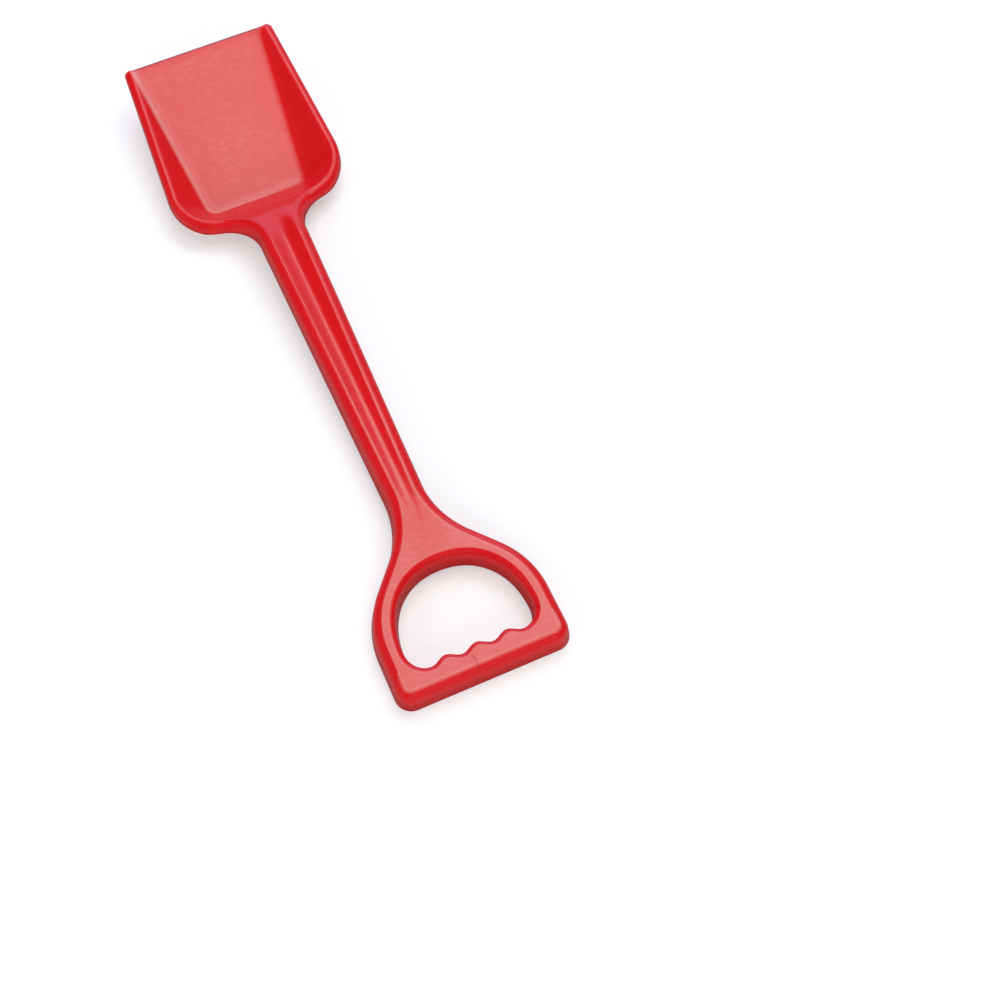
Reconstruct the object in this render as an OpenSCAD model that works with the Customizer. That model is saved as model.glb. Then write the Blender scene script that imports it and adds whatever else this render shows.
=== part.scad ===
// Child's sand shovel: one injection moulding in a uniform wall, open at the back.
// x runs across, v runs from the tip of the blade to the end of the grip, and z is the
// height over the plane in which the rim of the blade meets its shoulders.
// The moulding is drawn in that frame and then laid down on its heel and its grip.

/* [Overall] */
// Length from the tip of the blade to the end of the grip
overall_len = 400; // [350:5:450]
// Thickness of the moulded wall
wall = 2.5; // [2:0.1:2.9]
// Least draft of the flanges, in degrees from upright
draft = 5; // [2:0.5:7]
// Radius at the crest of a rim or a ridge
crest_r = 5.5; // [3.5:0.1:6]

/* [Blade] */
// Width of the blade at the tip
tip_w = 86.5; // [80:0.5:92]
// Width of the blade where the lines of its sides and its rear edge cross
blade_w = 100.5; // [96:0.5:106]
// Distance from the tip to the rear edge beside the shoulders
blade_len = 104; // [102:0.5:110]
// How much further back the rear edge lies where it reaches the shaft
rear_sweep = 11; // [10:0.5:14]
// Corner radius at the tip
tip_corner_r = 3; // [2.8:0.1:6]
// Corner radius at the shoulders
shoulder_r = 26.5; // [20:0.5:27]
// Radius of the hollow corner between the rear edge and the shaft
neck_r = 21.5; // [16:0.5:22]
// Slope of the walls and the back of the scoop, in degrees from level
wall_angle = 46; // [44:1:52]
// Distance across from the outer edge to the crest of the rim
rim_w = 3.7; // [3.5:0.1:4.6]
// Length of the floor from the tip to the crease of the back slope
floor_len = 90.5; // [84:0.5:94]
// Depth of the floor under the rim at the crease of the back slope
scoop_depth = 17; // [13:0.5:20]
// Depth of the floor under the rim of the sides at the tip
tip_depth = 0.6; // [0.4:0.1:1.6]
// Rise of the rim from the shoulders to the tip
rim_rise = 10; // [7:0.5:12]
// Height of the flange from its lower edge to the crest at the tip
tip_flange = 3.7; // [3.6:0.1:5]
// Height of the flange at the shoulders
shoulder_flange = 7.5; // [6:0.5:10]
// Blend between the rim and the walls of the scoop
rim_blend = 1.6; // [1.4:0.1:2]
// Blend between the walls and the floor of the scoop
floor_blend = 3.6; // [2:0.1:4]

/* [Shaft] */
// Width of the shaft at the neck
neck_w = 26.4; // [25:0.2:28]
// Width of the shaft at the yoke
yoke_w = 21.2; // [19:0.2:24]
// Distance between the crests of the two ridges at the neck
ridge_pitch = 14.8; // [13.6:0.2:16]
// Distance between the crests of the two ridges at the yoke
ridge_pitch_yoke = 7.2; // [6:0.2:8]
// Height of the ridges over the rim at the neck
ridge_h = 8; // [6:0.5:10]
// Height of the flange at the neck
neck_flange = 12; // [10:0.5:14]
// Height of the flange at the yoke
yoke_flange = 13; // [11:0.5:15]
// Length of the rise from the rim to the ridges
neck_rise_len = 29; // [26:0.5:32]
// Blend between the back slope of the scoop and the rise of the neck
neck_blend = 5; // [3:0.5:6]
// Depth of the valley between the ridges
valley_depth = 3.4; // [2:0.1:3.5]
// Length over which the valley runs out before the yoke
valley_close_len = 60; // [40:1:80]
// Number of cross ribs in the open back of the shaft
rib_count = 4; // [2:1:6]
// Thickness of a cross rib
rib_t = 1.8; // [1.4:0.1:2.4]
// Height at which a cross rib stays over the edge of the flange
rib_recess = 1.5; // [1:0.1:3]

/* [Handle] */
// Width of the handle where its sides begin
handle_w = 90.5; // [86:0.5:96]
// Width of the handle at the grip
grip_w = 91.5; // [88:0.5:96]
// Distance from the end of the grip to where the yoke begins to spread
yoke_reach = 87; // [85:0.5:90]
// Distance from the end of the grip to where the lines of the bow and the sides cross
bow_reach = 47; // [42:0.5:52]
// Radius of the hollow sides of the yoke
yoke_r = 48; // [40:1:50]
// Radius of the bow of the handle
bow_r = 48; // [40:1:50]
// Corner radius at the ends of the grip
grip_corner_r = 8.6; // [7.4:0.2:10]
// Height of the flat top of the handle over the rim
top_h = 6; // [4:0.5:8]
// Height of the flange of the handle
handle_flange = 14; // [12:0.5:17]
// Distance across from the outer edge to the flat top
top_inset = 6.6; // [5.6:0.2:7.4]
// Width of the rounded edge of the hand hole
hole_edge_w = 4.5; // [4.2:0.1:5]

/* [Hand hole] */
// Width of the hand hole at its lower edge
hole_w = 65.5; // [62:0.5:68]
// Distance from the end of the grip to the widest place of the hole
hole_reach = 25; // [24:0.5:27]
// Height of the arch of the hole
arch_h = 36.8; // [33:0.2:38]
// Width of the grip at the crests between the fingers
grip_bar_w = 17.7; // [17:0.1:20]
// Distance from one crest to the next
finger_pitch = 16; // [15:0.1:17]
// Depth of the finger grooves
finger_depth = 2.9; // [2:0.1:3.4]
// How much squarer than an ellipse the arch of the hole is: 1 is an ellipse
arch_power = 0.92; // [0.85:0.01:1]

/* [Hidden] */
plastic = "#d7232e";

// Number of steps along each stretch of the blade's outline: half of the digging edge, its
// corner, the side, the shoulder, the rear edge, the hollow corner and a stretch of the shaft
blade_steps = [5, 4, 7, 8, 2, 8, 1];
// The same for the handle: a stretch of the shaft, the hollow side of the yoke, the slanted
// side of the bow, its rounded part, the side, the corner and half of the grip
handle_steps = [1, 8, 3, 9, 3, 6, 15];
// Steps round a flange from its lower edge to its crest
round_steps = 5;
// Steps down a wall of the scoop, and across the shaft from a ridge to the middle line
wall_steps = 8;
across_steps = 10;
// Steps across the flat top between two rounded edges
flat_steps = 2;
// Steps of the shaft between two cross ribs
bay_steps = 2;
// How much closer the points lie at the two ends of a wall, as a share of even steps
end_gather_share = 0.6;
// Least corner radius of an inner outline
least_r = wall/4;
// Reach of the two points from which a slope is measured
probe = wall/50;

function steps_to(steps, i) = i == 0 ? 0 : steps_to(steps, i - 1) + steps[i - 1];

// Stations along the shovel that follow from the sizes above
rear_v = blade_len;
wall_slope = tan(wall_angle);
back_v = floor_len + (scoop_depth + rim_blend)/wall_slope;
neck_start_v = back_v - rim_blend;
neck_end_v = neck_start_v + neck_rise_len;
shaft_start_v = rear_v + rear_sweep + neck_r;
yoke_v = overall_len - yoke_reach;
shaft_end_v = yoke_v - yoke_r*tan(45/2) - wall;
bow_v = overall_len - bow_reach;
hole_v = overall_len - hole_reach;
crest_v = overall_len - grip_bar_w;
valley_end_v = yoke_v;

// Blends
function clamp01(t) = min(max(t, 0), 1);
function line(a, b, v) = clamp01((v - a)/(b - a));
function ease(a, b, v) = let (t = line(a, b, v)) t*t*(3 - 2*t);
function mix(a, b, t) = a + (b - a)*t;
function soft_min(a, b, k) = let (h = max(k - abs(a - b), 0)/k) min(a, b) - h*h*k/4;
function soft_max(a, b, k) = -soft_min(-a, -b, k);

// Heights along the shovel
function rim_z(v) = rim_rise*(1 - v/floor_len);
function ridge_z(v) = mix(ridge_h, top_h, line(neck_end_v, yoke_v, v));
function neck_rise(v) = let (t = line(neck_start_v, neck_end_v, v)) t*(2 - t);
function crest_z(v) = mix(rim_z(v), ridge_z(v), neck_rise(v));
function floor_z(v) = mix(rim_rise - tip_depth, -scoop_depth, v/floor_len);
function flange_h(v) =
    mix(tip_flange, shoulder_flange, line(0, floor_len, v))
    + (neck_flange - shoulder_flange)*neck_rise(v)
    + (yoke_flange - neck_flange)*line(neck_end_v, shaft_end_v, v)
    + (handle_flange - yoke_flange)*ease(shaft_end_v, bow_v, v);
function edge_z(v) = crest_z(v) - flange_h(v);

// Half widths along the shaft: the outer edge and the crests of the ridges
function shaft_half(v) = mix(neck_w, yoke_w, (v - shaft_start_v)/(yoke_v - shaft_start_v))/2;
function ridge_half(v) =
    mix(ridge_pitch, ridge_pitch_yoke, (v - shaft_start_v)/(yoke_v - shaft_start_v))/2;

// Distance inside the crest of the rim at the sides and the back, with round corners where
// they meet. The floor runs out to the digging edge.
side_taper = atan((blade_w - tip_w)/2/rear_v);
scoop_corner_r = shoulder_r - rim_w;
function crest_side_x(v) = tip_w/2 + v*tan(side_taper) - rim_w/cos(side_taper);
function corner_dist(a, b, r) =
    a < r && b < r ? r - norm([r - a, r - b]) : min(a, b);
function scoop_dist(x, v) =
    let (side = (crest_side_x(v) - abs(x))*cos(side_taper), back = back_v - v)
    corner_dist(side, back, scoop_corner_r);

// The valley between the ridges: it starts where the neck rises over its bottom
function valley_z(x, v) =
    let (half = ridge_half(min(v, yoke_v)), share = half/ridge_half(shaft_start_v),
         deep = valley_depth*share*share*(1 - ease(valley_end_v - valley_close_len, valley_end_v, v)))
    max(deep - ridge_z(v) + crest_z(max(v, neck_start_v)), 0)
    *(1 + cos(180*min(abs(x)/half, 1)))/2;

// Height of the top surface inside the crest line, and its upward normal
function crest_blend(x, v) = mix(rim_blend, neck_blend,
    ease(floor_len, back_v, v)*(1 - ease(neck_w/2, neck_w, abs(x))));
function top_z(x, v) =
    let (slope_z = rim_z(min(v, back_v)) + rim_blend - scoop_dist(x, v)*wall_slope,
         scoop_z = soft_max(floor_z(v), slope_z, floor_blend))
    soft_min(scoop_z, crest_z(v) - valley_z(x, v), crest_blend(x, v));
function unit(p) = p/norm(p);
function top_normal(x, v) =
    unit([top_z(x - probe, v) - top_z(x + probe, v),
          top_z(x, v - probe) - top_z(x, v + probe), 2*probe]);

// A corner of an outline, rounded from tangent point to tangent point
function round_corner(a, p, b, r, n) =
    let (u = unit(a - p), w = unit(b - p), half = acos(u*w)/2,
         centre = p + unit(u + w)*r/sin(half),
         from = p + u*r/tan(half) - centre, to = p + w*r/tan(half) - centre,
         turn = (90 - half)*2)
    [for (i = [0:n]) centre + (sin(turn*(1 - i/n))*from + sin(turn*i/n)*to)/sin(turn)];
// A leg in n steps. The part of it named last_even, at its far end, has even steps,
// and the steps grow towards its near end.
function straight(a, b, n, last_even = 0) =
    let (share = last_even == 0 ? 1 : last_even/norm(b - a))
    [for (i = [1:n]) let (t = 1 - i/n) mix(b, a, share*t + (1 - share)*pow(t, 3))];
// An outline through corners, with a fixed number of steps on each leg and each corner
function outline(pts, radii, steps, last_even = 0, i = 1, done = []) =
    let (start = len(done) == 0 ? [pts[0]] : done, from = start[len(start) - 1])
    i == len(pts) - 1 ? concat(start, straight(from, pts[i], steps[2*i - 2], last_even))
    : let (arc = round_corner(pts[i - 1], pts[i], pts[i + 1], radii[i - 1], steps[2*i - 1]))
      outline(pts, radii, steps, last_even, i + 1,
              concat(start, straight(from, arc[0], steps[2*i - 2]),
                     [for (j = [1:steps[2*i - 1]]) arc[j]]));

// Outer edge and crest line of the blade
function blade_corners(inset, half) =
    let (side = inset/cos(side_taper), v = rear_v - inset,
         side_v = v, side_x = tip_w/2 + side_v*tan(side_taper) - side)
    [[0, inset], [tip_w/2 + inset*tan(side_taper) - side, inset], [side_x, side_v],
     [half, v + rear_sweep], [half, shaft_start_v]];
blade_edge = outline(blade_corners(0, shaft_half(shaft_start_v)),
    [tip_corner_r, shoulder_r, neck_r], blade_steps);
blade_crest = outline(blade_corners(rim_w, ridge_half(shaft_start_v)),
    [max(tip_corner_r - rim_w, least_r), scoop_corner_r, neck_r + rim_w], blade_steps);

// Where the floor of the scoop is flat, from the digging edge to the back slope
flat_depth = rim_blend + floor_blend;
floor_front_v = rim_w + wall;
floor_back_v = floor_len - floor_blend/wall_slope;
function floor_half(v) =
    crest_side_x(v) - (rim_z(v) - floor_z(v) + flat_depth)/wall_slope/cos(side_taper);
rear_row = steps_to(blade_steps, 4);
arc_row = steps_to(blade_steps, 5);
foot_x = floor_half(floor_back_v) - wall - (blade_crest[rear_row].x - blade_crest[arc_row].x);
floor_rim = outline([[0, floor_front_v], [floor_half(floor_front_v), floor_front_v],
    [floor_half(floor_back_v), floor_back_v], [foot_x, floor_back_v]],
    [wall/2, wall], blade_steps);

// Place across of the last finger groove
groove_x = 1.5*finger_pitch;

// Outer edge and inner edge of the flat top of the handle
bow_slant = atan((handle_w - yoke_w)/2/(bow_v - yoke_v));
function handle_corners(inset, half, slant_inset) =
    let (side_x = handle_w/2 - inset, end_x = grip_w/2 - inset,
         slant_x = slant_inset/cos(bow_slant))
    [[half[0], shaft_end_v],
     [half[1], yoke_v + (half[1] - yoke_w/2 + slant_x)/tan(bow_slant)],
     [side_x, bow_v + (slant_x - inset)/tan(bow_slant)],
     [end_x, overall_len - inset], [0, overall_len - inset]];
handle_edge = outline(handle_corners(0, [shaft_half(shaft_end_v), yoke_w/2], 0),
    [yoke_r, bow_r, grip_corner_r], handle_steps, groove_x);
handle_crest = outline(handle_corners(top_inset,
    [ridge_half(shaft_end_v), ridge_pitch_yoke/2], top_inset),
    [yoke_r + top_inset, bow_r - top_inset, max(grip_corner_r - top_inset, least_r)],
    handle_steps, groove_x);

// The hand hole, widened by reach: its arch, its corner and the finger grooves
hole_half = hole_w/2;
arch_steps = handle_steps[2] + handle_steps[3];
corner_steps = handle_steps[4] + handle_steps[5];
function groove_v(x) = crest_v + finger_depth*(1 - cos(360*x/finger_pitch))/2;
// Each point of the arch lies opposite its point of the crest line
yoke_row = steps_to(handle_steps, 2);
function bow_angle(i) = let (p = handle_crest[yoke_row + i])
    atan2(p.x/hole_half, (hole_v - p.y)/arch_h);
function arch_angle(i) =
    90*(bow_angle(i) - bow_angle(0))/(bow_angle(arch_steps) - bow_angle(0));
function hole_rim(reach) = concat(
    [for (i = [0:arch_steps]) let (a = arch_angle(i))
        [(hole_half + reach)*pow(sin(a), arch_power),
         hole_v - (arch_h + reach)*pow(cos(a), arch_power)]],
    [for (i = [1:corner_steps]) let (a = 90*i/corner_steps)
        [groove_x + (hole_half - groove_x + reach)*cos(a),
         hole_v + (groove_v(groove_x) - hole_v + reach)*sin(a)]],
    [for (i = [1:handle_steps[6]]) let (x = groove_x*(1 - i/handle_steps[6]))
        [x, groove_v(x) + reach]]);

// A flange from its lower edge, up its leaning flank and over the crest radius to the crest.
// Each entry is a pair: a point of the outer face and the point behind it. The normal is
// that of the top surface at the crest.
function flange(edge, crest, edge_h, crest_h, normal) =
    let (inset = norm(edge - crest), out = (edge - crest)/inset, h = crest_h - edge_h,
         r = min(crest_r, min((inset - h*tan(draft))*cos(draft), h)/(1 - sin(draft))),
         lean = acos(r/norm([inset, h - r])) - atan2(h - r, inset),
         back = edge - out*wall/cos(lean))
    concat([[[edge.x, edge.y, edge_h], [back.x, back.y, edge_h]]],
        [for (i = [0:round_steps])
            let (a = mix(lean, 90, i/round_steps), across = crest + out*r*cos(a),
                 p = [across.x, across.y, crest_h - r + r*sin(a)])
            [p, p - unit([out.x, out.y, 0]*cos(a) + normal*sin(a))*wall]]);
function outer_flange(edge, crest) = flange(edge, crest, edge_z(edge.y),
    top_z(crest.x, crest.y), top_normal(crest.x, crest.y));
function hole_flange(edge, crest) =
    flange(edge, crest, top_h - handle_flange, top_h, [0, 0, 1]);

// A point of the top surface with the point behind it
function skin(p) =
    let (z = top_z(p.x, p.y), n = top_normal(p.x, p.y)*wall)
    [[p.x, p.y, z], [p.x - n.x, p.y - n.y, z - n.z]];
function gathered(t) = t - end_gather_share*sin(360*t)/(2*PI);
function reversed(list) = [for (i = [len(list) - 1:-1:0]) list[i]];
function flip(pair) = [for (p = pair) [-p.x, p.y, p.z]];
function flip_row(row) = [for (pair = row) flip(pair)];
// A row that ends on the middle line, carried on to the other side
function whole_row(row) =
    concat(row, [for (i = [len(row) - 2:-1:0]) flip(row[i])]);
// Rows that begin at the middle line, led in from the other side
function rows_from(rows) =
    concat([for (i = [len(rows) - 1:-1:1]) flip_row(rows[i])], rows);
// Rows that end at the middle line, carried on to the other side
function rows_over(rows) =
    concat(rows, [for (i = [len(rows) - 2:-1:0]) flip_row(rows[i])]);

// A closed sheet of the wall through rows of pairs. The faces round its rim are cut along
// the diagonal from the top point nearer to the middle line, so that sheets meet exactly.
module sheet(rows) {
    n = len(rows);
    m = len(rows[0]);
    points = [for (side = [0, 1]) for (row = rows) for (pair = row)
        [pair[side].x, -pair[side].y, pair[side].z]];
    function top(i, j) = i*m + j;
    function low(i, j) = (n + i)*m + j;
    function quad(a, b, c, d) = [[a, b, c], [a, c, d]];
    function nearer(p, q) = abs(p.x) == abs(q.x) ? p.y < q.y : abs(p.x) < abs(q.x);
    function side(a, b, c, d) =
        nearer(points[a], points[b]) ? quad(a, b, c, d) : quad(b, c, d, a);
    faces = concat(
        [for (i = [0:n - 2]) for (j = [0:m - 2]) each
            quad(top(i, j), top(i + 1, j), top(i + 1, j + 1), top(i, j + 1))],
        [for (i = [0:n - 2]) for (j = [0:m - 2]) each
            quad(low(i, j + 1), low(i + 1, j + 1), low(i + 1, j), low(i, j))],
        [for (i = [0:n - 2]) each side(top(i + 1, 0), top(i, 0), low(i, 0), low(i + 1, 0))],
        [for (i = [0:n - 2]) each
            side(top(i, m - 1), top(i + 1, m - 1), low(i + 1, m - 1), low(i, m - 1))],
        [for (j = [0:m - 2]) each side(top(0, j), top(0, j + 1), low(0, j + 1), low(0, j))],
        [for (j = [0:m - 2]) each
            side(top(n - 1, j + 1), top(n - 1, j), low(n - 1, j), low(n - 1, j + 1))]);
    polyhedron(points, faces);
}

// Rows of the blade: from its outer edge down to the flat of the floor
corner_row = steps_to(blade_steps, 1);
neck_row = steps_to(blade_steps, 7);
function wall_skins(crest, foot) = [for (j = [1:wall_steps])
    skin(mix(crest, foot, gathered(j/wall_steps)))];
function scoop_row(i) = concat(outer_flange(blade_edge[i], blade_crest[i]),
    wall_skins(blade_crest[i], floor_rim[i]));
function floor_row(i) = let (pair = skin(floor_rim[i])) [pair, flip(pair)];

// A section of the shaft or the yoke: from the outer edge to the middle line
function section_row(edge, crest, middle_v) = whole_row(concat(outer_flange(edge, crest),
    [for (j = [1:across_steps]) skin(mix(crest, [0, middle_v], j/across_steps))]));
function shaft_row(v) = section_row([shaft_half(v), v], [ridge_half(v), v], v);
function rise_row(i) = section_row(blade_edge[i], blade_crest[i],
    mix(back_v, shaft_start_v, (i - arc_row)/(neck_row - arc_row)));

// Rows down the back of the scoop, from the first section of the neck to the floor
neck_first = rise_row(arc_row);
function back_row(k) = let (t = k/across_steps)
    concat([neck_first[round_steps + 1 + k]],
           wall_skins(mix(blade_crest[arc_row], [0, back_v], t),
                      mix(floor_rim[arc_row], [0, floor_back_v], t)));

// Stations of the shaft: the faces of each cross rib, and steps between the ribs
bay = (shaft_end_v - shaft_start_v)/(rib_count + 1);
function rib_v(i) = shaft_start_v + bay*i - rib_t/2;
shaft_stations = [for (i = [0:rib_count]) each
    let (a = i == 0 ? shaft_start_v : rib_v(i) + rib_t,
         b = i == rib_count ? shaft_end_v : rib_v(i + 1))
    [for (j = [0:bay_steps]) mix(a, b, j/bay_steps)]];

// A cross rib under a section: from the inside of the wall down to its own level edge
function rib_row(v) =
    let (row = [for (pair = shaft_row(v)) pair[1]], foot_z = edge_z(v) + rib_recess,
         low = row[0], high = row[1], t = (foot_z - low.z)/(high.z - low.z),
         side = mix(low, high, t), last = len(row) - 1)
    [for (j = [1:last - 1]) let (x = j == 1 ? side.x : j == last - 1 ? -side.x : row[j].x)
        [row[j], [x, row[j].y, foot_z]]];

// Rows of the yoke and of the handle beside the hand hole
grip_row = steps_to(handle_steps, 5);
end_row = steps_to(handle_steps, 7);
hole_low = hole_rim(0);
hole_high = hole_rim(hole_edge_w);
function spread_row(i) = section_row(handle_edge[i], handle_crest[i],
    mix(shaft_end_v, hole_high[0].y, i/yoke_row));
function bow_row(i) = let (k = i - yoke_row) concat(
    outer_flange(handle_edge[i], handle_crest[i]),
    [for (j = [1:flat_steps - 1]) skin(mix(handle_crest[i], hole_high[k], j/flat_steps))],
    reversed(hole_flange(hole_low[k], hole_high[k])));

// The shovel lies on its heel and on the edge at the end of the grip
heel_points = [for (k = [0:across_steps]) for (pair = back_row(k)) pair[1]];
grip_edge_z = edge_z(overall_len);
lay_angle = atan(max([for (p = heel_points) (grip_edge_z - p.z)/(overall_len - p.y)]));
tip_reach = max([for (pair = scoop_row(0)) -pair[0].y*cos(lay_angle) - pair[0].z*sin(lay_angle)]);
end_reach = min([for (pair = bow_row(end_row))
    -pair[0].y*cos(lay_angle) - pair[0].z*sin(lay_angle)]);
module laid() {
    translate([0, -(tip_reach + end_reach)/2,
               overall_len*sin(lay_angle) - grip_edge_z*cos(lay_angle)])
        rotate([lay_angle, 0, 0]) children();
}

module blade_floor() {
    color(plastic) laid() sheet([for (i = [corner_row:rear_row]) floor_row(i)]);
}
module digging_edge() {
    color(plastic) laid() sheet(rows_from([for (i = [0:corner_row]) scoop_row(i)]));
}
module right_wall() {
    color(plastic) laid() sheet([for (i = [corner_row:arc_row]) scoop_row(i)]);
}
module left_wall() {
    mirror([1, 0, 0]) right_wall();
}
module back_wall() {
    color(plastic) laid() sheet(rows_over([for (k = [0:across_steps]) back_row(k)]));
}
module neck() {
    color(plastic) laid() sheet([for (i = [arc_row:neck_row]) rise_row(i)]);
}
module shaft() {
    color(plastic) laid() sheet([for (v = shaft_stations) shaft_row(v)]);
}
module shaft_ribs() {
    color(plastic) laid() for (i = [1:rib_count])
        sheet([rib_row(rib_v(i)), rib_row(rib_v(i) + rib_t)]);
}
module yoke() {
    color(plastic) laid() sheet([for (i = [0:yoke_row]) spread_row(i)]);
}
module right_arm() {
    color(plastic) laid() sheet([for (i = [yoke_row:grip_row]) bow_row(i)]);
}
module left_arm() {
    mirror([1, 0, 0]) right_arm();
}
module grip() {
    color(plastic) laid() sheet(rows_over([for (i = [grip_row:end_row]) bow_row(i)]));
}

blade_floor();
digging_edge();
left_wall();
right_wall();
back_wall();
neck();
shaft();
shaft_ribs();
yoke();
left_arm();
right_arm();
grip();
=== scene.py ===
"""Child's sand shovel: one injection moulding with a square scoop, an M-shaped shaft and a
D-shaped handle. The moulding is computed from the same rules as its construction."""

import bmesh
import bpy
import numpy as np
from mathutils import Matrix, Vector


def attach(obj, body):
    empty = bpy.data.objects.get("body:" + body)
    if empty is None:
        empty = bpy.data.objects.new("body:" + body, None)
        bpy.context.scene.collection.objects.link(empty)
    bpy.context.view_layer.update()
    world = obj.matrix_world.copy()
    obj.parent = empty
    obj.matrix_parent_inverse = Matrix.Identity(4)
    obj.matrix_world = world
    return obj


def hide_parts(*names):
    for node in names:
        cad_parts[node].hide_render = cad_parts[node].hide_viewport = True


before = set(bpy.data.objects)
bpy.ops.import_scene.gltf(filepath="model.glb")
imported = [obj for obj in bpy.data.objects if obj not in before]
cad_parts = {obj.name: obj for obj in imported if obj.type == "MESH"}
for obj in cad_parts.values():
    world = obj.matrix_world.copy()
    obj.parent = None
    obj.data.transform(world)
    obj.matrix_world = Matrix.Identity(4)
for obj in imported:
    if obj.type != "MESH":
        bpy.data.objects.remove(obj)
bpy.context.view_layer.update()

bl_info = {
    "name": "Sand shovel",
    "version": (1, 0, 0),
    "blender": (4, 5, 0),
    "location": "View3D > Sidebar > Shovel",
    "description": "Builds a child's sand shovel moulded in one piece",
    "category": "Object",
}

MM = 0.001
REGIONS = ("blade_floor", "digging_edge", "left_wall", "right_wall", "back_wall", "neck",
           "shaft", "yoke", "left_arm", "right_arm", "grip")

# Steps along each stretch of the two outlines
BLADE_STEPS = (14, 10, 24, 28, 6, 26, 3)
HANDLE_STEPS = (3, 24, 10, 28, 12, 22, 66)
# Steps over a crest, down a wall of the scoop, across half of the shaft and along it
ROUND_STEPS = 12
WALL_STEPS = 28
ACROSS_STEPS = 14
SHAFT_STEPS = 70
# How much the steps down a wall gather at its ends, the size of the flat floor's inner ring
# as a share of the outer one, and the distance at which points are one
GATHERING = 0.6
FLOOR_RING = 0.97
MERGE_DIST = 0.002 * MM

# How round the valley is at its bottom and sides, and how far it narrows as it runs out
VALLEY_ROUND = 0.45
VALLEY_NARROWING = 0.85

# How upright the surface is on the outer face, where the handle's flat top begins, where it
# begins at the outer side of the grip, and how much further it is full
OUTER_FROM, FLAT_FROM, GRIP_FLAT_FROM, FLAT_OVER = 0.2, 0.982, 0.925, 0.017

# The cross ribs, in thicknesses of the wall: how far their ends and tops reach into it
RIB_INSET, RIB_HOLD = 0.65, 0.6


def length(name, about, value):
    """A size of the shovel in metres, from its value in millimetres."""
    return bpy.props.FloatProperty(name=name, description=about, default=value * MM,
                                   subtype="DISTANCE", unit="LENGTH", precision=5)


def angle(name, about, value):
    """An angle of the shovel, from its value in degrees."""
    return bpy.props.FloatProperty(name=name, description=about, default=np.radians(value),
                                   subtype="ANGLE")


def amount(name, about, value):
    """An amount from 0 to 1."""
    return bpy.props.FloatProperty(name=name, description=about, default=value, min=0, max=1)


def colour(name, about, value):
    """A colour, as linear red, green and blue."""
    return bpy.props.FloatVectorProperty(name=name, description=about, default=value,
                                         subtype="COLOR", size=3, min=0, max=1)


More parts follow.
